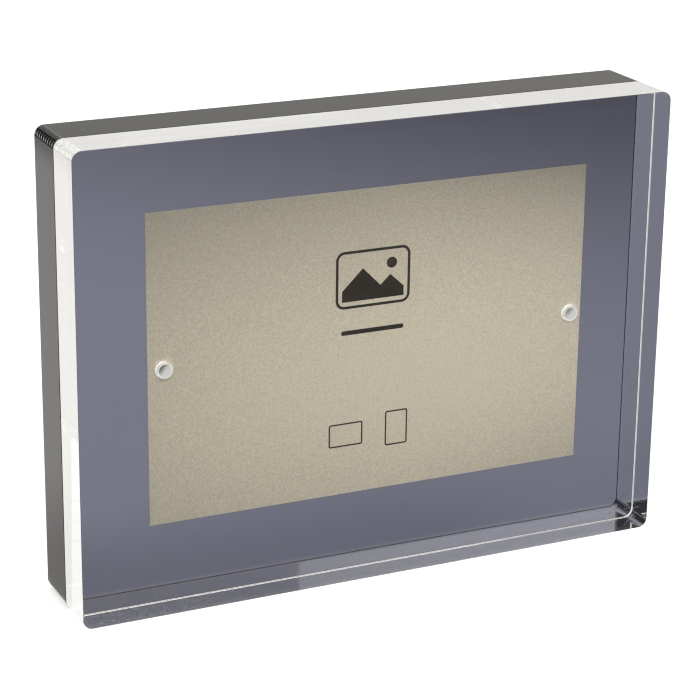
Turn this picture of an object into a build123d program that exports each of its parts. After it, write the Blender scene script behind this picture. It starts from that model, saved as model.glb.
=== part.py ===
from build123d import *
import os

# Acrylic block frame: a clear front block and a smoke-grey rear block of one outline, held together
# through the photo card between them by two pairs of disc magnets. Each magnet is glued into a
# flat-bottomed pocket milled in the inner face of its block.
#
# Millimetres, +Z up, +X to the viewer's right. The picture side faces -Y. The origin is at the middle
# of the closed frame's footprint, on the surface that it stands on.

# Blocks. Both are cut to one outline with corners of 1/8 inch, and every edge of their large faces is broken
# and polished.
BLOCK_WIDTH = 203.2
BLOCK_HEIGHT = 152.4
CORNER_RADIUS = 3.175
EDGE_BREAK = 0.15
FRONT_THICKNESS = 16.4
REAR_THICKNESS = 17.6

# Photo card: a standard print. It is what keeps the blocks apart, with a little air on each side.
CARD_WIDTH = 152.4
CARD_HEIGHT = 101.6
CARD_THICKNESS = 0.35
CARD_AIR = 0.05

# Magnets: nickel-plated discs of 3/16 by 1/16 inch with broken rims, one pair near each end of the card.
MAGNET_DIAMETER = 4.76
MAGNET_THICKNESS = 1.59
MAGNET_EDGE_BREAK = 0.25
MAGNET_FROM_CARD_END = 4.7

# Pockets: wider than the magnet all round, and deep enough for the glue, the magnet and a hair more.
POCKET_CLEARANCE = 0.25
GLUE_THICKNESS = 0.15
MAGNET_SUNK = 0.05

# Where the pockets lie from the middle of the block, and the card from the middle of the pockets.
POCKETS_RIGHT = 1.35
POCKETS_UP = 1.65
CARD_SLIPPED_LEFT = 0.6
CARD_SLIPPED_DOWN = 0.4

# Depths, from the front face backwards.
GAP = CARD_THICKNESS + 2 * CARD_AIR
FRAME_DEPTH = FRONT_THICKNESS + GAP + REAR_THICKNESS
FRONT_FACE_Y = -FRAME_DEPTH / 2
FRONT_INNER_Y = FRONT_FACE_Y + FRONT_THICKNESS
REAR_INNER_Y = FRONT_INNER_Y + GAP
POCKET_DEPTH = GLUE_THICKNESS + MAGNET_THICKNESS + MAGNET_SUNK
POCKET_RADIUS = MAGNET_DIAMETER / 2 + POCKET_CLEARANCE

# Places across the frame.
MAGNET_HALF_SPACING = CARD_WIDTH / 2 - MAGNET_FROM_CARD_END
MAGNET_Z = BLOCK_HEIGHT / 2 + POCKETS_UP
MAGNET_X = {
    "left": POCKETS_RIGHT - MAGNET_HALF_SPACING,
    "right": POCKETS_RIGHT + MAGNET_HALF_SPACING,
}
CARD_X = POCKETS_RIGHT - CARD_SLIPPED_LEFT
CARD_Z = MAGNET_Z - CARD_SLIPPED_DOWN

BACKWARDS = (0, 1, 0)
FORWARDS = (0, -1, 0)


def facing(x, y, z):
    """A sketch plane that faces the viewer: its own X runs right, and its own Y runs up."""
    return Plane(origin=(x, y, z), x_dir=(1, 0, 0), z_dir=FORWARDS)


def disc(x, y, z, radius, thickness, towards):
    """A flat disc whose first face lies at y and whose thickness runs towards the given direction."""
    return extrude(facing(x, y, z) * Circle(radius), amount=thickness, dir=towards)


def large_face_edges(solid):
    """The outlines of a plate's front and back faces."""
    by_depth = solid.faces().sort_by(Axis.Y)
    return by_depth[0].edges() + by_depth[-1].edges()


def block(face_y, thickness):
    """A plate of the frame's outline with rounded corners and broken edges, without its pockets."""
    outline = RectangleRounded(BLOCK_WIDTH, BLOCK_HEIGHT, CORNER_RADIUS)
    plate = extrude(facing(0, face_y, BLOCK_HEIGHT / 2) * outline, amount=thickness, dir=BACKWARDS)
    return chamfer(large_face_edges(plate), EDGE_BREAK)


def pocketed(plate, inner_y, into_block):
    """The plate with both magnet pockets milled into its inner face."""
    for x in MAGNET_X.values():
        plate -= disc(x, inner_y, MAGNET_Z, POCKET_RADIUS, POCKET_DEPTH, into_block)
    return plate


def magnet(x, inner_y, into_block):
    """A disc magnet in its pocket, sunk a hair below the block's inner face, with broken rims."""
    depth_sign = into_block[1]
    face_y = inner_y + depth_sign * MAGNET_SUNK
    body = disc(x, face_y, MAGNET_Z, MAGNET_DIAMETER / 2, MAGNET_THICKNESS, into_block)
    return chamfer(large_face_edges(body), MAGNET_EDGE_BREAK)


def glue(x, inner_y, into_block):
    """The cup of adhesive that fills the pocket behind and around its magnet, level with the magnet's face."""
    depth_sign = into_block[1]
    face_y = inner_y + depth_sign * MAGNET_SUNK
    depth = MAGNET_THICKNESS + GLUE_THICKNESS
    fill = disc(x, face_y, MAGNET_Z, POCKET_RADIUS, depth, into_block)
    return fill - magnet(x, inner_y, into_block)


def photo_card():
    """The printed card, square-cornered, clamped between the blocks."""
    face_y = FRONT_INNER_Y + CARD_AIR
    outline = Rectangle(CARD_WIDTH, CARD_HEIGHT)
    return extrude(facing(CARD_X, face_y, CARD_Z) * outline, amount=CARD_THICKNESS, dir=BACKWARDS)


nodes = {
    "front_block": pocketed(block(FRONT_FACE_Y, FRONT_THICKNESS), FRONT_INNER_Y, FORWARDS),
    "rear_block": pocketed(block(REAR_INNER_Y, REAR_THICKNESS), REAR_INNER_Y, BACKWARDS),
    "photo_card": photo_card(),
}
for side, magnet_x in MAGNET_X.items():
    nodes[f"front_magnet_{side}"] = magnet(magnet_x, FRONT_INNER_Y, FORWARDS)
    nodes[f"front_glue_{side}"] = glue(magnet_x, FRONT_INNER_Y, FORWARDS)
    nodes[f"rear_magnet_{side}"] = magnet(magnet_x, REAR_INNER_Y, BACKWARDS)
    nodes[f"rear_glue_{side}"] = glue(magnet_x, REAR_INNER_Y, BACKWARDS)

os.makedirs("parts", exist_ok=True)
for name, solid in nodes.items():
    solid.label = name
    export_step(solid, f"parts/{name}.step")
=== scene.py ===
import math

import bpy
import numpy as np
from mathutils import Matrix, Vector


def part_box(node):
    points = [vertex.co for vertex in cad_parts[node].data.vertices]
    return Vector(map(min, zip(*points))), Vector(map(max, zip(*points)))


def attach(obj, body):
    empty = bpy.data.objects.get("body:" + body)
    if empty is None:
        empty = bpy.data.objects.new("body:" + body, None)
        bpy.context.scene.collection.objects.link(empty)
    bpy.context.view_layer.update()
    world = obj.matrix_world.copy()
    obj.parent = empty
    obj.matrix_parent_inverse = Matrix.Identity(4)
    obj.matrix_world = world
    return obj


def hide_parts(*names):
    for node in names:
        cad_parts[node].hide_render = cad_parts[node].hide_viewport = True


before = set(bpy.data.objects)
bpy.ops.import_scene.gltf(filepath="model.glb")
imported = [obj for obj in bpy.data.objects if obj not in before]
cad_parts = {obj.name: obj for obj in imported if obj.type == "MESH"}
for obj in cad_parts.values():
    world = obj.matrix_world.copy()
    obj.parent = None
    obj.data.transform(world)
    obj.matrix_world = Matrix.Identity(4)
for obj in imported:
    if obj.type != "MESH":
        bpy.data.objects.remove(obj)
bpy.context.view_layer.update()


# Rear block. A thick plate of smoke-grey cast acrylic, cut to the outline, polished on all sides and stood
# on a long edge. Its dye is all through it, so it is grey from the front and nearly black along its length.
# The cutter's passes stay as faint ribs low on its rounded corners, and its sharp edges are eased by hand.

MM = 0.001
WHITE, BLACK = (1, 1, 1, 1), (0, 0, 0, 1)
ACRYLIC_IOR = 1.491
SMOKE_DYE = (0.09, 0.115, 0.28)
SMOKE_DENSITY = 91.0
CORNER_RADIUS = 3.175 * MM
EDGE_HAZE = 0.22
RIM_WIDTH = 0.2 * MM
RIM_PAINTED_SHADE = (0.05, 0.045, 0.04, 1)
SEAM_LIGHT = 0.5
HAIR = 0.02 * MM
RIB_PITCH = 1.95 * MM
RIB_HEIGHT = 0.085 * MM
RIBS_FROM, RIBS_FULL = math.radians(7), math.radians(14)
RIBS_FADE_FROM, RIBS_FADE_TO = math.radians(34), math.radians(44)


class Recipe:
    """Short forms for putting shader nodes into a material's, world's or group's tree and joining them."""

    def __init__(self, tree):
        self.tree = tree

    def node(self, kind, **settings):
        made = self.tree.nodes.new("ShaderNode" + kind)
        for name, value in settings.items():
            setattr(made, name, value)
        return made

    def feed(self, value, socket):
        """Joins an output socket to an input, or sets a plain value on it."""
        if isinstance(value, bpy.types.NodeSocket):
            self.tree.links.new(value, socket)
        else:
            socket.default_value = value

    def math(self, operation, *values):
        made = self.node("Math", operation=operation)
        for value, socket in zip(values, made.inputs):
            self.feed(value, socket)
        return made.outputs[0]

    def ramp(self, value, low, high, at_low=0.0, at_high=1.0):
        """A smooth step from one level to another while the value goes from low to high."""
        made = self.node("MapRange", interpolation_type="SMOOTHSTEP")
        for given, socket in zip((value, low, high, at_low, at_high), made.inputs):
            self.feed(given, socket)
        return made.outputs["Result"]

    def blend(self, share, a, b):
        """A mix of two numbers."""
        made = self.node("Mix", data_type="FLOAT")
        for given, place_in_list in ((share, 0), (a, 2), (b, 3)):
            self.feed(given, made.inputs[place_in_list])
        return made.outputs[0]

    def tint(self, share, a, b):
        """A mix of two colours."""
        made = self.node("Mix", data_type="RGBA")
        for given, place_in_list in ((share, 0), (a, 6), (b, 7)):
            self.feed(given, made.inputs[place_in_list])
        return made.outputs[2]

    def place(self):
        """The point's x, y and z, in metres in the frame's own axes."""
        split = self.node("SeparateXYZ")
        self.feed(self.node("TexCoord").outputs["Object"], split.inputs[0])
        return split.outputs["X"], split.outputs["Y"], split.outputs["Z"]

    def length(self, a, b):
        """The root of the sum of two squares."""
        squares = self.math("ADD", self.math("MULTIPLY", a, a), self.math("MULTIPLY", b, b))
        return self.math("SQRT", squares)

    def product(self, first, *others):
        """All the values multiplied together."""
        for other in others:
            first = self.math("MULTIPLY", first, other)
        return first

    def dimmed(self, light, where, share):
        """The light, less a share of it where a mask is 1: light (1 - where share)."""
        return self.math("MULTIPLY", light, self.math("SUBTRACT", 1.0, self.math("MULTIPLY", where, share)))

    def noise(self, size, detail=2.0, stretch=(1, 1, 1)):
        """A cloudy noise from 0 to 1 whose lumps are about as large as the size, times the stretch."""
        spread = self.node("Mapping")
        spread.inputs["Scale"].default_value = [1 / s for s in stretch]
        self.feed(self.node("TexCoord").outputs["Object"], spread.inputs["Vector"])
        made = self.node("TexNoise")
        self.feed(spread.outputs["Vector"], made.inputs["Vector"])
        self.feed(self.math("DIVIDE", 1.0, size), made.inputs["Scale"])
        made.inputs["Detail"].default_value = detail
        return made.outputs[0]

    def effect(self, group, **values):
        """Places an effect's group in this tree with its own values, and gives back its outputs."""
        made = self.node("Group", node_tree=group)
        for name, value in values.items():
            self.feed(value, made.inputs[name])
        return made.outputs


def new_effect(name, inputs, outputs):
    """An empty node group with named numbers in and out: its tree, its recipe, and its ends."""
    group = bpy.data.node_groups.new(name, "ShaderNodeTree")
    for label in inputs:
        group.interface.new_socket(name=label, in_out="INPUT", socket_type="NodeSocketFloat")
    for label in outputs:
        group.interface.new_socket(name=label, in_out="OUTPUT", socket_type="NodeSocketFloat")
    given = group.nodes.new("NodeGroupInput").outputs
    result = group.nodes.new("NodeGroupOutput").inputs
    return group, Recipe(group), given, result


def new_material(name):
    """A new material, its recipe and its Principled shader."""
    made = bpy.data.materials.new(name)
    made.use_nodes = True
    return made, Recipe(made.node_tree), made.node_tree.nodes["Principled BSDF"]


def acrylic(name, dye, density):
    """Polished cast acrylic: a clear body whose dye absorbs light along the way through it."""
    made, recipe, shader = new_material(name)
    shader.inputs["Base Color"].default_value = WHITE
    shader.inputs["IOR"].default_value = ACRYLIC_IOR
    shader.inputs["Transmission Weight"].default_value = 1.0
    body = recipe.node("VolumeAbsorption")
    body.inputs["Color"].default_value = (*dye, 1)
    body.inputs["Density"].default_value = density
    recipe.feed(body.outputs["Volume"], made.node_tree.nodes["Material Output"].inputs["Volume"])
    return made, recipe, shader


def wear(node, material):
    """Gives a CAD node its finish."""
    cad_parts[node].material_slots[0].material = material


rear_low, rear_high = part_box("rear_block")
half_width = rear_high.x
half_height = rear_high.z / 2

# Where a point lies on a block: Eased is 1 on the eased edges round the large faces, and Turn is the angle
# up a rounded corner from the upright side, or -1 off the corners. Front Rim and Rear Rim are 1 close to the
# edges of the block's front face and of its rear face. A block's middle and half depth go in.
edges, edge, edge_in, edge_out = new_effect("block_edges", ("Middle", "Half Depth"),
                                            ("Eased", "Turn", "Front Rim", "Rear Rim"))
edge_x, edge_y, edge_z = edge.place()
past_x = edge.math("SUBTRACT", edge.math("ABSOLUTE", edge_x), half_width - CORNER_RADIUS)
from_middle = edge.math("ABSOLUTE", edge.math("SUBTRACT", edge_z, half_height))
past_z = edge.math("SUBTRACT", from_middle, half_height - CORNER_RADIUS)
round_part = edge.length(edge.math("MAXIMUM", past_x, 0.0), edge.math("MAXIMUM", past_z, 0.0))
flat_part = edge.math("MINIMUM", edge.math("MAXIMUM", past_x, past_z), 0.0)
inset = edge.math("SUBTRACT", edge.math("SUBTRACT", CORNER_RADIUS, round_part), flat_part)
off_middle = edge.math("ABSOLUTE", edge.math("SUBTRACT", edge_y, edge_in["Middle"]))
under_face = edge.math("SUBTRACT", edge_in["Half Depth"], off_middle)
edge.feed(edge.math("GREATER_THAN", edge.math("MINIMUM", inset, under_face), HAIR), edge_out["Eased"])
on_corner = edge.math("GREATER_THAN", edge.math("MINIMUM", past_x, past_z), 0.0)
edge.feed(edge.blend(on_corner, -1.0, edge.math("ARCTAN2", past_z, past_x)), edge_out["Turn"])
rim = edge.math("LESS_THAN", edge.math("MAXIMUM", inset, under_face), RIM_WIDTH)
behind = edge.math("GREATER_THAN", edge_y, edge_in["Middle"])
edge.feed(edge.math("MULTIPLY", rim, behind), edge_out["Rear Rim"])
edge.feed(edge.math("SUBTRACT", rim, edge.math("MULTIPLY", rim, behind)), edge_out["Front Rim"])

smoke_acrylic, smoke, smoke_shader = acrylic("smoke_acrylic", SMOKE_DYE, SMOKE_DENSITY)
rear_edges = smoke.effect(edges, Middle=(rear_low.y + rear_high.y) / 2,
                          **{"Half Depth": (rear_high.y - rear_low.y) / 2})
from_within = smoke.node("NewGeometry").outputs["Backfacing"]
smoke_x, smoke_y, _ = smoke.place()

# The rim at the seam's right end glows a little where it is seen from within the block, in place of light
# that the real one scatters. The other rims are painted dark: painted shade along the edges of the faces.
right_end = smoke.math("GREATER_THAN", smoke_x, half_width - CORNER_RADIUS)
seam_rim = smoke.product(rear_edges["Front Rim"], right_end, from_within)
smoke.feed(smoke.tint(seam_rim, BLACK, WHITE), smoke_shader.inputs["Emission Color"])
smoke_shader.inputs["Emission Strength"].default_value = SEAM_LIGHT
# Painted shade: the front and rear rims, except the seam's, get a dark colour.
both_rims = smoke.math("ADD", rear_edges["Front Rim"], rear_edges["Rear Rim"])
painted_shade_rim = smoke.math("SUBTRACT", both_rims, seam_rim)
smoke.feed(smoke.tint(painted_shade_rim, WHITE, RIM_PAINTED_SHADE), smoke_shader.inputs["Base Color"])
smoke.feed(smoke.math("MULTIPLY", rear_edges["Eased"], EDGE_HAZE), smoke_shader.inputs["Roughness"])

# The ribs are a sine along the block's depth, from low on each rounded corner to about half way round it.
rib_wave = smoke.math("SINE", smoke.math("MULTIPLY", smoke_y, 2 * math.pi / RIB_PITCH))
rib_share = smoke.math("MULTIPLY", smoke.ramp(rear_edges["Turn"], RIBS_FROM, RIBS_FULL),
                       smoke.ramp(rear_edges["Turn"], RIBS_FADE_FROM, RIBS_FADE_TO, 1.0, 0.0))
ribs = smoke.node("Bump")
ribs.inputs["Distance"].default_value = RIB_HEIGHT
smoke.feed(smoke.math("MULTIPLY", rib_share, rib_wave), ribs.inputs["Height"])
smoke.feed(ribs.outputs["Normal"], smoke_shader.inputs["Normal"])
wear("rear_block", smoke_acrylic)


# Front block. The same outline in water-clear cast acrylic, polished all over, with its sharp edges eased by
# hand. Its foot is covered in fine scuffs where it slides on tables, most of all towards its left end.

CLEAR_DYE = (0.7, 0.8, 0.78)
CLEAR_DENSITY = 0.12
EDGE_GREY = (0.72, 0.73, 0.73, 1)
TRAPPED_AFTER = 26
FREEING_HAZE = 0.8
SCUFF_HAZE = 0.3
SCUFF_TURNS = 1.6 * MM
SCUFF_STRETCHES = ((3, 1, 1), (1, 3, 1), (1, 1, 1))
SCUFF_LINE = 0.007
SCUFF_CORE = SCUFF_LINE / 3
NOISE_MIDDLE = 0.5
WORN_FROM, WORN_TO = 0.01, -0.075
WORN_RIGHT = 0.3

front_low, front_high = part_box("front_block")
clear_acrylic, clear, clear_shader = acrylic("clear_acrylic", CLEAR_DYE, CLEAR_DENSITY)
front_edges = clear.effect(edges, Middle=(front_low.y + front_high.y) / 2,
                           **{"Half Depth": (front_high.y - front_low.y) / 2})
clear_x, clear_y, clear_z = clear.place()

# A scuff is a thin line where a noise crosses its middle. Three noises lie over each other.
foot = clear.math("LESS_THAN", clear_z, front_low.z + HAIR)
scuffs = 0.0
for stretch in SCUFF_STRETCHES:
    wave = clear.noise(SCUFF_TURNS, detail=3.0, stretch=stretch)
    off_line = clear.math("ABSOLUTE", clear.math("SUBTRACT", wave, NOISE_MIDDLE))
    scuffs = clear.math("MAXIMUM", scuffs, clear.ramp(off_line, SCUFF_LINE, SCUFF_CORE))
worn = clear.ramp(clear_x, WORN_FROM, WORN_TO, WORN_RIGHT, 1.0)
foot_haze = clear.product(foot, worn, scuffs, SCUFF_HAZE)
edge_haze = clear.math("MULTIPLY", front_edges["Eased"], EDGE_HAZE)

# A render trick: perfect faces would never let some of the light inside go. For light that has bounced many
# times all of them but the one at the seam turn hazy.
clear_depth = clear.node("LightPath").outputs["Ray Depth"]
off_seam = clear.math("LESS_THAN", clear_y, front_high.y - HAIR)
freed = clear.math("MULTIPLY", clear.math("GREATER_THAN", clear_depth, TRAPPED_AFTER), off_seam)
freeing_haze = clear.math("MULTIPLY", freed, FREEING_HAZE)
haze = clear.math("MAXIMUM", clear.math("MAXIMUM", foot_haze, edge_haze), freeing_haze)
clear.feed(haze, clear_shader.inputs["Roughness"])
clear.feed(clear.tint(front_edges["Eased"], WHITE, EDGE_GREY), clear_shader.inputs["Base Color"])
wear("front_block", clear_acrylic)


# Magnets. Four small nickel-plated discs with broken rims, sunk in pockets in the blocks' inner faces. The
# plate is slightly uneven, brighter in some places and duller and rougher in others.

NICKEL = (0.86, 0.85, 0.82, 1)
NICKEL_DULL = (0.70, 0.69, 0.66, 1)
PLATE_LUMP = 0.4 * MM
DULL_FROM, DULL_FULL = 0.35, 0.7
ROUGH_FROM, ROUGH_FULL = 0.3, 0.7
PLATE_SMOOTH, PLATE_ROUGH = 0.22, 0.4

nickel, plating, plating_shader = new_material("nickel")
plate_lumps = plating.noise(PLATE_LUMP, detail=3.0)
plate_colour = plating.tint(plating.ramp(plate_lumps, DULL_FROM, DULL_FULL), NICKEL, NICKEL_DULL)
plate_roughness = plating.ramp(plate_lumps, ROUGH_FROM, ROUGH_FULL, PLATE_SMOOTH, PLATE_ROUGH)
plating.feed(plate_colour, plating_shader.inputs["Base Color"])
plating_shader.inputs["Metallic"].default_value = 1.0
plating.feed(plate_roughness, plating_shader.inputs["Roughness"])

for end in ("front", "rear"):
    for side in ("left", "right"):
        wear(f"{end}_magnet_{side}", nickel)


# Glue cups. Each magnet is bonded in its pocket by adhesive that cures milky. It fills the pocket's floor and
# side, is whitest where it is thick, in the corner of the floor, and is smeared out round the pocket's mouth.
# It glows a little in place of the light that real milky glue scatters. Under the magnet it has painted light
# to the lower right and painted shade to the upper left.

CUP_AIR = 0.008 * MM
CUP_CORNER_ACROSS, CUP_CORNER_DEEP = CUP_AIR, 3 * CUP_AIR
LIP_WIDTH = 0.25 * MM
LIP_LEAST = 0.03 * MM
LIP_AT = math.radians(160)
LIP_HALF_TURN = math.radians(75)
SHARP_TURN = math.radians(30)
LIP_THICKNESS = 0.03 * MM
CUP_STEPS = 96
WETTED_AT = math.radians(225)
WETTED_HALF_TURN = math.radians(38)
WETTED_SWELL = 2 * CUP_AIR
MILKY = (0.95, 0.95, 0.94, 1)
MILKY_GLOW = 0.28
THIN_PAINTED_LIGHT = (0.78, 0.78, 0.77, 1)
THIN_PAINTED_SHADE = (0.22, 0.21, 0.19, 1)
VOID = (0.30, 0.27, 0.22, 1)
FLOOR_DISC_RADIUS = 2.05 * MM
DISC_FEATHER = 0.08 * MM
GLUE_LUMP = 0.9 * MM
PAINTED_LIGHT_FROM, PAINTED_LIGHT_FULL = -1.7, 0.4
VOID_LUMP = 0.5 * GLUE_LUMP
VOID_FROM, VOID_FULL = 0.5, 0.6
NO_VOIDS_AT, VOIDS_AT = 0.75, 0.35
GLUE_ROUGHNESS = 0.35

magnet_low, magnet_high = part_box("front_magnet_right")
magnet_centre = (magnet_low + magnet_high) / 2
left_magnet_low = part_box("front_magnet_left")[0]
between_magnets = (left_magnet_low.x + magnet_high.x) / 2
magnet_radius = (magnet_high.x - magnet_low.x) / 2

glue, glue_recipe, glue_shader = new_material("glue")

# Where a point lies in its pocket, the left one or the right one: how far right of the pocket's axis, how far
# up from it, and how far away from it.
glue_x, _, glue_z = glue_recipe.place()
past_middle = glue_recipe.math("SUBTRACT", glue_x, between_magnets)
across_pocket = glue_recipe.math("SUBTRACT", glue_recipe.math("ABSOLUTE", past_middle),
                                 magnet_centre.x - between_magnets)
right_in_pocket = glue_recipe.math("MULTIPLY", across_pocket, glue_recipe.math("SIGN", past_middle))
up_pocket = glue_recipe.math("SUBTRACT", glue_z, magnet_centre.z)
from_axis = glue_recipe.length(across_pocket, up_pocket)

# Under the magnet the glue is thin and mottled, with voids. Painted light makes it pale to the lower right,
# and painted shade makes it darker to the upper left, where the voids lie.
thin = glue_recipe.ramp(from_axis, FLOOR_DISC_RADIUS + DISC_FEATHER, FLOOR_DISC_RADIUS - DISC_FEATHER)
lumps = glue_recipe.math("SUBTRACT", glue_recipe.noise(GLUE_LUMP, detail=3.0), NOISE_MIDDLE)
to_lower_right = glue_recipe.math("SUBTRACT", right_in_pocket, up_pocket)
painted_light_slope = glue_recipe.math("DIVIDE", to_lower_right, FLOOR_DISC_RADIUS)
mottle_and_painted_light = glue_recipe.ramp(glue_recipe.math("ADD", painted_light_slope, lumps), PAINTED_LIGHT_FROM, PAINTED_LIGHT_FULL)
under_magnet = glue_recipe.tint(mottle_and_painted_light, THIN_PAINTED_SHADE, THIN_PAINTED_LIGHT)
voids = glue_recipe.ramp(glue_recipe.noise(VOID_LUMP, detail=2.0), VOID_FROM, VOID_FULL)
voids = glue_recipe.math("MULTIPLY", voids, glue_recipe.ramp(mottle_and_painted_light, NO_VOIDS_AT, VOIDS_AT))
under_magnet = glue_recipe.tint(voids, under_magnet, VOID)
glue_recipe.feed(glue_recipe.tint(thin, MILKY, under_magnet), glue_shader.inputs["Base Color"])
# The thin glue's glow follows the same painted light, brightest to the lower right.
thin_painted_glow = glue_recipe.tint(mottle_and_painted_light, BLACK, WHITE)
glue_recipe.feed(glue_recipe.tint(thin, WHITE, thin_painted_glow), glue_shader.inputs["Emission Color"])
glue_shader.inputs["Emission Strength"].default_value = MILKY_GLOW
glue_shader.inputs["Roughness"].default_value = GLUE_ROUGHNESS


def turned(profile, wander, centre_x, centre_z):
    """A closed surface turned round a line along Y. The profile is (n, 2) radii and depths, with its first
    and last points on the line, and wander is (n, steps). At the angle t a ring's points lie at
    x = centre + (radius + wander) cos t, and z in the same way with the sine."""
    steps = wander.shape[1]
    turn = np.linspace(0, 2 * math.pi, steps, endpoint=False)
    radius = (profile[:, :1] + wander)[1:-1]
    depth = np.repeat(profile[1:-1, 1:], steps, axis=1)
    rings = np.stack([centre_x + radius * np.cos(turn), depth, centre_z + radius * np.sin(turn)], 2)
    poles = np.array([[centre_x, profile[0, 1], centre_z], [centre_x, profile[-1, 1], centre_z]])
    points = np.concatenate([poles, rings.reshape(-1, 3)])
    here = 2 + np.arange(rings.shape[0] * steps).reshape(rings.shape[0], steps)
    beside = np.roll(here, -1, axis=1)
    sides = np.stack([here[:-1], here[1:], beside[1:], beside[:-1]], 2).reshape(-1, 4)
    first = np.stack([np.zeros(steps, int), here[0], beside[0]], 1)
    last = np.stack([np.ones(steps, int), beside[-1], here[-1]], 1)
    return points, sides.tolist() + first.tolist() + last.tolist()


def new_piece(name, points, faces, material, smooth=True):
    """A mesh object at the origin, with its place in its mesh. The faces given to it point outwards."""
    mesh = bpy.data.meshes.new(name)
    mesh.from_pydata(points.tolist(), [], faces)
    mesh.materials.append(material)
    mesh.polygons.foreach_set("use_smooth", np.full(len(mesh.polygons), smooth))
    if smooth:
        mesh.set_sharp_from_angle(angle=SHARP_TURN)
    mesh.update()
    piece = bpy.data.objects.new(name, mesh)
    bpy.context.scene.collection.objects.link(piece)
    return piece


def swell(turn, at, half_turn):
    """Rises from 0 to 1 and falls back over two half turns: cos(90 degrees (turn - at) / half turn), or 0."""
    off = np.minimum(np.abs(turn - at) / half_turn, 1.0)
    return np.cos(off * math.pi / 2)


def glue_cup(end, side):
    """The adhesive round one magnet. Its profile runs from the pocket's floor out to the side, along it, out
    over the mouth as a thin lip, and back in along the magnet's side and end to the middle. It stands a hair
    off the floor, the mouth and most of the side wall, and a hair into the wall where it has wetted it."""
    low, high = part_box(f"{end}_glue_{side}")
    inner_magnet_low, inner_magnet_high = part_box(f"{end}_magnet_{side}")
    centre = (low + high) / 2
    pocket_radius = (high.x - low.x) / 2
    into_block = -1 if end == "front" else 1
    mouth = front_high.y if end == "front" else rear_low.y
    floor = (low.y if end == "front" else high.y) - into_block * CUP_AIR
    magnet_end = (inner_magnet_low.y if end == "front" else inner_magnet_high.y) + into_block * CUP_AIR
    outer = mouth - into_block * (CUP_AIR + LIP_THICKNESS)
    under_lip = mouth - into_block * CUP_AIR
    bore = magnet_radius + CUP_AIR
    wall = pocket_radius - CUP_AIR
    lip = pocket_radius + LIP_LEAST
    profile = np.array([
        (0.0, floor), (pocket_radius / 2, floor), (wall - CUP_CORNER_ACROSS, floor),
        (wall, floor - into_block * CUP_CORNER_DEEP), (wall, under_lip), (lip, under_lip), (lip, outer),
        (bore, outer), (bore, magnet_end), (bore / 2, magnet_end), (0.0, magnet_end)])
    turn = np.linspace(0, 2 * math.pi, CUP_STEPS, endpoint=False)
    wander = np.zeros((len(profile), CUP_STEPS))
    wander[3:5] = WETTED_SWELL * swell(turn, WETTED_AT, WETTED_HALF_TURN)
    wander[5:7] = LIP_WIDTH * swell(turn, LIP_AT, LIP_HALF_TURN)
    points, faces = turned(profile, wander, centre.x, centre.z)
    if end == "rear":
        faces = [face[::-1] for face in faces]
    return points, faces


bodies = {"front": "front", "rear": "root"}
for end in ("front", "rear"):
    for side in ("left", "right"):
        points, faces = glue_cup(end, side)
        cup = new_piece(f"{end}_glue_cup_{side}", points, faces, glue)
        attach(cup, bodies[end])
        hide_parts(f"{end}_glue_{side}")


# Photo card. A matt champagne card, cut to the size of a standard print and loose between the blocks. It has
# a fine mottle, and painted shade makes it darker towards its top and its ends.

CARD_PINK = (0.83, 0.75, 0.625, 1)
CARD_GREEN = (0.82, 0.77, 0.615, 1)
GRAIN_FINE = 0.26 * MM
GRAIN_COARSE = 0.6 * MM
GRAIN_DEPTH = 0.5
HUE_LUMP = 2 * GRAIN_COARSE
HUE_FROM, HUE_FULL = 0.4, 0.6
CARD_ROUGHNESS = 0.8
BRIGHTEST_ACROSS, END_PAINTED_SHADE, END_POWER = 0.2, 0.13, 1.5
BRIGHTEST_UP, TOP_PAINTED_SHADE, TOP_PAINTED_SHADE_TO_RIGHT = -0.3, 0.26, 0.25

card, card_recipe, card_shader = new_material("card")
card_low, card_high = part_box("photo_card")
card_centre = (card_low + card_high) / 2
card_half = (card_high - card_low) / 2
card_x, _, card_z = card_recipe.place()

# Painted shade: its shade is 1, less a power of the way to an end, less the square of the way from its
# brightest height, which counts for more to the right. Across and upward run from -1 to 1 over the card.
across = card_recipe.math("DIVIDE", card_recipe.math("SUBTRACT", card_x, card_centre.x), card_half.x)
upward = card_recipe.math("DIVIDE", card_recipe.math("SUBTRACT", card_z, card_centre.z), card_half.z)
to_end = card_recipe.math("ABSOLUTE", card_recipe.math("SUBTRACT", across, BRIGHTEST_ACROSS))
end_painted_shade = card_recipe.math("MULTIPLY", card_recipe.math("POWER", to_end, END_POWER), END_PAINTED_SHADE)
to_top = card_recipe.math("SUBTRACT", upward, BRIGHTEST_UP)
to_right = card_recipe.math("ADD", 1.0, card_recipe.math("MULTIPLY", across, TOP_PAINTED_SHADE_TO_RIGHT))
top_painted_shade = card_recipe.product(to_top, to_top, TOP_PAINTED_SHADE, to_right)
painted_shade_and_grain = card_recipe.math("SUBTRACT", card_recipe.math("SUBTRACT", 1.0, end_painted_shade), top_painted_shade)
fine = card_recipe.noise(GRAIN_FINE, detail=1.0)
coarse = card_recipe.noise(GRAIN_COARSE, detail=1.0)
grain = card_recipe.math("SUBTRACT", card_recipe.math("ADD", fine, coarse), 2 * NOISE_MIDDLE)
grain = card_recipe.math("ADD", 1.0, card_recipe.math("MULTIPLY", grain, GRAIN_DEPTH))
# The card's own grain goes on top of the painted shade.
painted_shade_and_grain = card_recipe.math("MULTIPLY", painted_shade_and_grain, grain)
hue = card_recipe.ramp(card_recipe.noise(HUE_LUMP, detail=2.0), HUE_FROM, HUE_FULL)
stock = card_recipe.tint(hue, CARD_PINK, CARD_GREEN)
card_recipe.feed(card_recipe.tint(painted_shade_and_grain, BLACK, stock), card_shader.inputs["Base Color"])
card_shader.inputs["Roughness"].default_value = CARD_ROUGHNESS
wear("photo_card", card)


# Printed marks. The card carries a plain guide print in warm near-black ink: a picture mark with a caption
# bar under it, and lower down the outlines of a card lying and standing, for the frame's two ways up.

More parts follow.
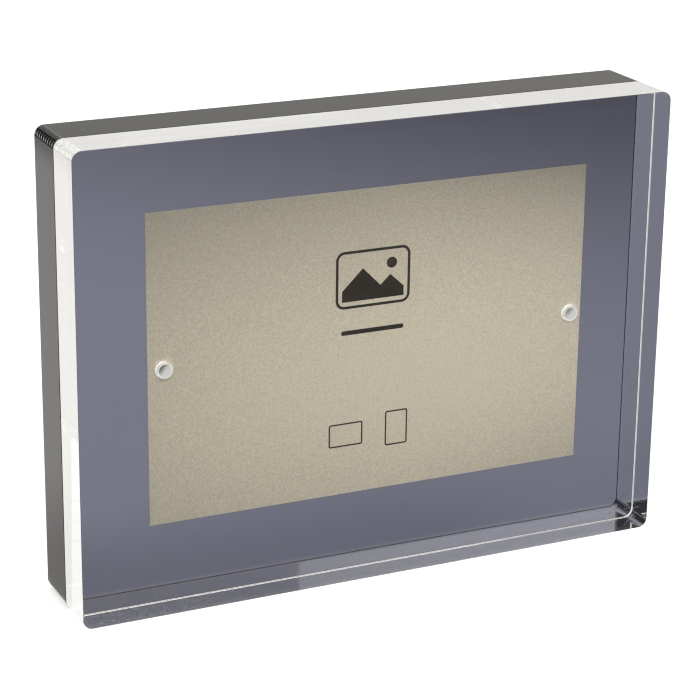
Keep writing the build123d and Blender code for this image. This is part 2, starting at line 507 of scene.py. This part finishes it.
INK = (0.022, 0.016, 0.011, 1)
INK_PALER = (0.034, 0.027, 0.020, 1)
INK_AIR = 0.002 * MM
INK_THICKNESS = 0.012 * MM
INK_PALER_FROM, INK_PALER_FULL = 0.35, 0.7
INK_ROUGHNESS = 0.6
ROUND_STEPS = 64
MARK_UP, MARK_WIDTH, MARK_HEIGHT, MARK_CORNER, MARK_LINE = 99 * MM, 26 * MM, 19 * MM, 3 * MM, 0.9 * MM
SUN_RADIUS, SUN_RIGHT, SUN_UP = 1.8 * MM, 6.5 * MM, 4.2 * MM
HILLS_MM = ((-10.8, -7.2), (10.8, -7.2), (10.8, -4.0), (6.0, 0.4), (2.6, -2.8), (-3.6, 3.4), (-10.8, -3.6))
BAR_UP, BAR_WIDTH, BAR_HEIGHT = 81.5 * MM, 22 * MM, 1.5 * MM
WAYS_UP, WAYS_APART = 47 * MM, 9 * MM
WAY_LONG, WAY_SHORT, WAY_CORNER, WAY_LINE = 12 * MM, 8 * MM, 0.8 * MM, 0.5 * MM


def rounded(centre_x, centre_z, width, height, corner):
    """Points anticlockwise round a rounded rectangle, seen from in front. At the angle t they lie at
    x = centre + sign(cos t) (width / 2 - corner) + corner cos t, and z in the same way with the sine. The
    first point is half a step round, so that no cosine or sine is 0."""
    step = 2 * math.pi / ROUND_STEPS
    turn = step / 2 + step * np.arange(ROUND_STEPS)
    side, rise = np.cos(turn), np.sin(turn)
    x = centre_x + np.sign(side) * (width / 2 - corner) + corner * side
    z = centre_z + np.sign(rise) * (height / 2 - corner) + corner * rise
    return np.stack([x, z], 1)


def inked(outline, hole=None):
    """A thin closed pad of ink over an outline, or between an outline and a hole with as many points: the
    same points at two depths, joined by walls, and closed in front and behind."""
    back = card_low.y - INK_AIR
    walls = [outline] if hole is None else [outline, hole]
    points = [np.column_stack([wall[:, 0], np.full(len(wall), y), wall[:, 1]])
              for wall in walls for y in (back - INK_THICKNESS, back)]
    count = len(outline)
    i = np.arange(count)
    j = np.roll(i, -1)
    sides = np.stack([i, i + count, j + count, j], 1)
    if hole is None:
        faces = sides.tolist() + [i.tolist(), (i[::-1] + count).tolist()]
    else:
        inner = np.stack([i, j, j + count, i + count], 1) + 2 * count
        front = np.stack([i, j, j + 2 * count, i + 2 * count], 1)
        rear = np.stack([i, i + 2 * count, j + 2 * count, j], 1) + count
        faces = np.concatenate([sides, inner, front, rear]).tolist()
    return np.concatenate(points), faces


def ring(centre_x, centre_z, width, height, corner, line):
    """An inked outline of a rounded rectangle, as wide as its line."""
    outside = rounded(centre_x, centre_z, width, height, corner)
    inside = rounded(centre_x, centre_z, width - 2 * line, height - 2 * line, corner - line)
    return inked(outside, inside)


mark_x = card_centre.x
hills = np.array(HILLS_MM) * MM + (mark_x, MARK_UP)
marks = [
    ring(mark_x, MARK_UP, MARK_WIDTH, MARK_HEIGHT, MARK_CORNER, MARK_LINE),
    inked(rounded(mark_x + SUN_RIGHT, MARK_UP + SUN_UP, 2 * SUN_RADIUS, 2 * SUN_RADIUS, SUN_RADIUS)),
    inked(hills),
    inked(rounded(mark_x, BAR_UP, BAR_WIDTH, BAR_HEIGHT, BAR_HEIGHT / 2)),
    ring(mark_x - WAYS_APART, WAYS_UP, WAY_LONG, WAY_SHORT, WAY_CORNER, WAY_LINE),
    ring(mark_x + WAYS_APART, WAYS_UP, WAY_SHORT, WAY_LONG, WAY_CORNER, WAY_LINE),
]
starts = np.cumsum([0] + [len(points) for points, faces in marks])
mark_points = np.concatenate([points for points, faces in marks])
mark_faces = [np.add(face, start).tolist() for start, (points, faces) in zip(starts, marks) for face in faces]

ink, ink_recipe, ink_shader = new_material("ink")
paler = ink_recipe.ramp(ink_recipe.noise(GRAIN_FINE, detail=1.0), INK_PALER_FROM, INK_PALER_FULL)
ink_recipe.feed(ink_recipe.tint(paler, INK, INK_PALER), ink_shader.inputs["Base Color"])
ink_shader.inputs["Roughness"].default_value = INK_ROUGHNESS
card_print = new_piece("card_print", mark_points, mark_faces, ink, smooth=False)
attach(card_print, "card")


# Table. To the camera it is a plain pale top. In the blocks it shows by light of its own, with painted shade
# close to the frame's foot, and darker far off to the right and at the far left. A band of painted shade that
# only the blocks show lies on it in front, to keep reflections off the picture side.

TABLE_HALF = 1.6
TABLE_CLEARANCE = 0.2 * MM
CAMERA_TONE = 0.5
CAMERA_GLOW = 0.6
GLOW_WARMTH = (1.0, 0.975, 0.945, 1)
NEAR_LIGHT, FAR_LIGHT = 0.98, 0.38
FADE_FROM, FADE_TO = 0.25, 0.95
FADE_BACKWARDS = 0.9
FOOT_SHADE, FOOT_SHADE_RIGHT, FOOT_SHADE_REACH = 0.72, 0.92, 0.08
FOOT_SHADE_EASES_FROM = 0.02
LEFT_SHADE, LEFT_SHADE_REACH = 0.70, 0.08
LEFT_SHADE_X, LEFT_SHADE_Y = -0.15, 0.05
FRONT_PAINTED_SHADE = 0.93
FRONT_SHADE_REAR, FRONT_SHADE_FRONT = (-0.018, -0.022), (-0.66, -0.60)
FRONT_SHADE_LEFT, FRONT_SHADE_RIGHT = (-0.34, -0.30), (0.56, 0.50)
FAR_LEFT_SHADE = 0.85
FAR_LEFT_X, FAR_LEFT_Y = (-0.26, -0.30), (0.38, 0.44)
SHORT_WAY = 3.5
LONG_WAY = 8.5
LONG_WAY_TABLE = 0.855


def flat(name, corners):
    """A flat surface of the studio between four corners, with its place in its mesh."""
    mesh = bpy.data.meshes.new(name)
    mesh.from_pydata(corners, [], [(0, 1, 2, 3)])
    made = bpy.data.objects.new(name, mesh)
    bpy.context.scene.collection.objects.link(made)
    return made


table_corners = [(x * TABLE_HALF, y * TABLE_HALF, -TABLE_CLEARANCE)
                 for x, y in ((-1, -1), (1, -1), (1, 1), (-1, 1))]
table_object = flat("table", table_corners)

table_material, top, table_shader = new_material("table")
table_shader.inputs["Roughness"].default_value = 1.0
table_shader.inputs["Specular IOR Level"].default_value = 0.0
table_x, table_y, _ = top.place()
table_sight = top.node("LightPath")
ray_depth = table_sight.outputs["Ray Depth"]

# Its light fades to the right and backwards, but not to light that has gone a short way in the blocks.
fading = top.math("ADD", table_x, top.math("MULTIPLY", table_y, FADE_BACKWARDS))
far_light = top.ramp(fading, FADE_FROM, FADE_TO, NEAR_LIGHT, FAR_LIGHT)
far_light = top.blend(top.math("LESS_THAN", ray_depth, SHORT_WAY), far_light, NEAR_LIGHT)

# The shades: round the frame, least at its right end and none under it, and another one to its left.
out_x = top.math("MAXIMUM", top.math("SUBTRACT", top.math("ABSOLUTE", table_x), half_width), 0.0)
out_y = top.math("MAXIMUM", top.math("SUBTRACT", top.math("ABSOLUTE", table_y), rear_high.y), 0.0)
from_frame = top.length(out_x, out_y)
foot_level = top.ramp(table_x, FOOT_SHADE_EASES_FROM, half_width, FOOT_SHADE, FOOT_SHADE_RIGHT)
foot_shade = top.ramp(from_frame, 0.0, FOOT_SHADE_REACH, foot_level, 1.0)
under_frame = top.math("LESS_THAN", from_frame, HAIR)
foot_shade = top.math("MAXIMUM", foot_shade, under_frame)
left_x = top.math("SUBTRACT", table_x, LEFT_SHADE_X)
left_y = top.math("SUBTRACT", table_y, LEFT_SHADE_Y)
left_shade = top.ramp(top.length(left_x, left_y), 0.0, LEFT_SHADE_REACH, LEFT_SHADE, 1.0)
# A band of painted shade on the table in front, which only the blocks show.
front_painted_shade = top.product(top.ramp(table_y, *FRONT_SHADE_REAR), top.ramp(table_y, *FRONT_SHADE_FRONT),
                    top.ramp(table_x, *FRONT_SHADE_LEFT), top.ramp(table_x, *FRONT_SHADE_RIGHT))
light = top.dimmed(top.product(far_light, foot_shade, left_shade), front_painted_shade, FRONT_PAINTED_SHADE)
far_left = top.product(top.ramp(table_x, *FAR_LEFT_X), top.ramp(table_y, *FAR_LEFT_Y))
light = top.dimmed(light, far_left, FAR_LEFT_SHADE)

# A render trick: to light that has gone a long way in the blocks the table has one plain level.
light = top.blend(top.math("GREATER_THAN", ray_depth, LONG_WAY), light, LONG_WAY_TABLE)
camera_sees = table_sight.outputs["Is Camera Ray"]
top.feed(top.blend(camera_sees, light, CAMERA_GLOW), table_shader.inputs["Emission Strength"])
top.feed(top.tint(camera_sees, GLOW_WARMTH, WHITE), table_shader.inputs["Emission Color"])
albedo = top.blend(camera_sees, 0.0, CAMERA_TONE)
top.feed(top.tint(albedo, BLACK, WHITE), table_shader.inputs["Base Color"])
table_object.data.materials.append(table_material)


# White board. It stands to the right in front of the frame, hidden from the camera, and lights the foot and
# the right end from there. It fades out towards its upper, lower and right edges.

BOARD_LEFT, BOARD_RIGHT = 0.107, 0.50
BOARD_Y = -0.30
BOARD_LOW, BOARD_HIGH = 0.07, 0.45
BOARD_FADE = 0.06
BOARD_LIGHT = 1.6
LONG_WAY_BOARD = 1.1

board_object = flat("white_board", [(BOARD_LEFT, BOARD_Y, BOARD_LOW), (BOARD_RIGHT, BOARD_Y, BOARD_LOW),
                                    (BOARD_RIGHT, BOARD_Y, BOARD_HIGH), (BOARD_LEFT, BOARD_Y, BOARD_HIGH)])
board_object.visible_camera = False

board_material, board_recipe, board_shader = new_material("white_board")
board_shader.inputs["Base Color"].default_value = BLACK
board_shader.inputs["Specular IOR Level"].default_value = 0.0
board_shader.inputs["Emission Color"].default_value = WHITE
board_x, _, board_z = board_recipe.place()
upper_fade = board_recipe.ramp(board_z, BOARD_HIGH, BOARD_HIGH - BOARD_FADE)
lower_fade = board_recipe.ramp(board_z, BOARD_LOW, BOARD_LOW + BOARD_FADE)
right_fade = board_recipe.ramp(board_x, BOARD_RIGHT, BOARD_RIGHT - BOARD_FADE)
board_light = board_recipe.product(upper_fade, lower_fade, right_fade, BOARD_LIGHT)

# As the table, the board has one plain level to light that has gone a long way.
board_depth = board_recipe.node("LightPath").outputs["Ray Depth"]
board_far = board_recipe.math("GREATER_THAN", board_depth, LONG_WAY)
board_light = board_recipe.blend(board_far, board_light, LONG_WAY_BOARD)
board_recipe.feed(board_light, board_shader.inputs["Emission Strength"])
board_object.data.materials.append(board_material)


# Studio. A soft dome: behind the frame a pale band over a grey horizon, dark to the left and low in front,
# and white to the camera. A soft arch of light stands in front, over and to the sides of the frame. It lights
# the card, but lies outside every direction that the polished faces mirror to this camera.

HORIZON, BAND, OVER_BAND, ZENITH = 0.57, 0.87, 0.57, 1.3
BAND_STARTS, BAND_ENDS, ZENITH_STARTS = (0.26, 0.32), (0.385, 0.43), (0.45, 0.8)
FRONT_LOW, FRONT_HIGH = 0.40, 1.3
FRONT_RISES = (0.64, 0.74)
BACK_TO_FRONT, FRONT_TO_BACK = (0.1, -0.1), (-0.1, 0.1)
ARCH_LIGHT = 2.5
ARCH_FRONT, ARCH_REAR, ARCH_FOOT = (-0.745, -0.70), (-0.35, -0.45), (0.05, 0.15)
LEFT_DARK, DARK_TO_LEFT = 0.2, (-0.12, -0.24)
LEFT_DIM, DIM_TO_LEFT = 0.62, (0.19, 0.10)
DARK_BELOW = (0.62, 0.5)
LONG_WAY_BACK = 0.87
LONG_WAY_FRONT = 0.94
DOME_WARMTH = (1.0, 0.98, 0.93, 1)

world = bpy.data.worlds.new("studio")
bpy.context.scene.world = world
world.use_nodes = True
dome = Recipe(world.node_tree)
background = world.node_tree.nodes["Background"]
look = dome.node("SeparateXYZ")
dome.feed(dome.node("TexCoord").outputs["Generated"], look.inputs[0])
sky_x, sky_y, sky_z = look.outputs["X"], look.outputs["Y"], look.outputs["Z"]
in_front = dome.ramp(sky_y, *BACK_TO_FRONT)
low_back = dome.ramp(sky_z, *BAND_STARTS, HORIZON, BAND)
band_back = dome.ramp(sky_z, *BAND_ENDS, 0.0, OVER_BAND - BAND)
high_back = dome.ramp(sky_z, *ZENITH_STARTS, 0.0, ZENITH - OVER_BAND)
back_sky = dome.math("ADD", dome.math("ADD", low_back, band_back), high_back)
front_sky = dome.ramp(sky_z, *FRONT_RISES, FRONT_LOW, FRONT_HIGH)
sky = dome.blend(in_front, back_sky, front_sky)
not_high = dome.ramp(sky_z, *DARK_BELOW)
dark = dome.product(dome.ramp(sky_x, *DARK_TO_LEFT), not_high)
sky = dome.dimmed(sky, dark, 1 - LEFT_DARK)
dim = dome.product(dome.ramp(sky_x, *DIM_TO_LEFT), dome.ramp(sky_y, *FRONT_TO_BACK), not_high)
sky = dome.dimmed(sky, dim, 1 - LEFT_DIM)
arch = dome.product(dome.ramp(sky_y, *ARCH_FRONT), dome.ramp(sky_y, *ARCH_REAR), dome.ramp(sky_z, *ARCH_FOOT))
sky = dome.math("ADD", sky, dome.math("MULTIPLY", arch, ARCH_LIGHT))

# To light that has gone a long way the dome has two plain levels, one behind the frame and one in front.
sight = dome.node("LightPath")
long_way = dome.math("GREATER_THAN", sight.outputs["Ray Depth"], LONG_WAY)
sky = dome.blend(long_way, sky, dome.blend(in_front, LONG_WAY_BACK, LONG_WAY_FRONT))
seen = sight.outputs["Is Camera Ray"]
dome.feed(dome.blend(seen, sky, 1.0), background.inputs["Strength"])
dome.feed(dome.tint(seen, DOME_WARMTH, WHITE), background.inputs["Color"])


# Camera. It looks down at the frame from the viewer's left, with a long lens. Its place, angles and lens come
# from a fit to the outlines in the photograph.

AZIMUTH = math.radians(25.398)
ELEVATION = math.radians(19.353)
ROLL = math.radians(0.784)
LENS, SENSOR = 124.51, 36.0
CAMERA_PLACE = Vector((-318.59, -663.36, 330.83)) * MM
BOUNCES = 256
FILTER_WIDTH = 1.2

forward = Vector((math.sin(AZIMUTH) * math.cos(ELEVATION), math.cos(AZIMUTH) * math.cos(ELEVATION),
                  -math.sin(ELEVATION)))
level = Vector((math.cos(AZIMUTH), -math.sin(AZIMUTH), 0))
upright = level.cross(forward)
right = math.cos(ROLL) * level + math.sin(ROLL) * upright
up = -math.sin(ROLL) * level + math.cos(ROLL) * upright
camera_data = bpy.data.cameras.new("camera")
camera_data.lens = LENS
camera_data.sensor_width = SENSOR
camera = bpy.data.objects.new("camera", camera_data)
bpy.context.scene.collection.objects.link(camera)
camera.matrix_world = Matrix.Translation(CAMERA_PLACE) @ Matrix((right, up, -forward)).transposed().to_4x4()
bpy.context.scene.camera = camera

# Light goes a long way in the blocks, and blurring its glossy bounces would keep half of it off the card.
scene = bpy.context.scene
scene.view_settings.view_transform = "Standard"
scene.cycles.max_bounces = BOUNCES
scene.cycles.transmission_bounces = BOUNCES
scene.cycles.glossy_bounces = BOUNCES
scene.cycles.filter_width = FILTER_WIDTH
scene.cycles.blur_glossy = 0.0
